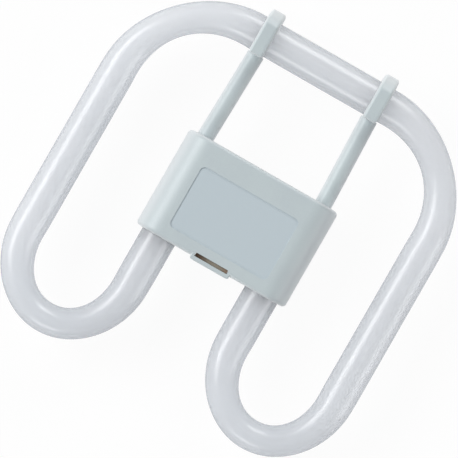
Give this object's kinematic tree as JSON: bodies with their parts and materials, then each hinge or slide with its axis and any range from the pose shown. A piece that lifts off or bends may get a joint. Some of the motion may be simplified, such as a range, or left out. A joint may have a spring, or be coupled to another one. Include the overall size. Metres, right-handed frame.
{
  "type": "square compact fluorescent lamp",
  "caption": "Flat square fluorescent lamp: a white coated glass tube bent around a plug-in plastic base, with clip arms that hold its top run.",
  "frame": {"origin": "centre of the plug collar's rim, on the plane that the lamp rests on", "axes": "+Z out of the front of the base, +Y from the base to the clips, +X to the right seen from the front"},
  "size_m": [0.138, 0.14, 0.0275],
  "materials": {
    "coated_glass": "gloss, white inside",
    "housing_plastic": "fine matte",
    "spring_bronze": "dull brown",
    "seal_silicone": "satin",
    "pin_brass": "turned",
    "wire_copper": "tinned",
    "splice_metal": "crimped",
    "starter_glass": "clear",
    "capacitor_resin": "dipped"
  },
  "bodies": {
    "root": {"discharge_tube": "coated_glass", "front_cover": "housing_plastic", "rear_cover": "housing_plastic", "latch_spring": "spring_bronze", "starter_bulb": "starter_glass", "capacitor": "capacitor_resin", "support_arm_left": "housing_plastic", "support_arm_right": "housing_plastic", "tube_seal_left": "seal_silicone", "tube_seal_right": "seal_silicone", "contact_pin_left": "pin_brass", "contact_pin_right": "pin_brass", "pin_lead_left": "wire_copper", "pin_lead_right": "wire_copper", "starter_feed_left": "wire_copper", "starter_feed_right": "wire_copper", "starter_leg_left": "wire_copper", "starter_leg_right": "wire_copper", "capacitor_leg_left": "wire_copper", "capacitor_leg_right": "wire_copper", "splice_left": "splice_metal", "splice_right": "splice_metal"}
  },
  "joints": []
}
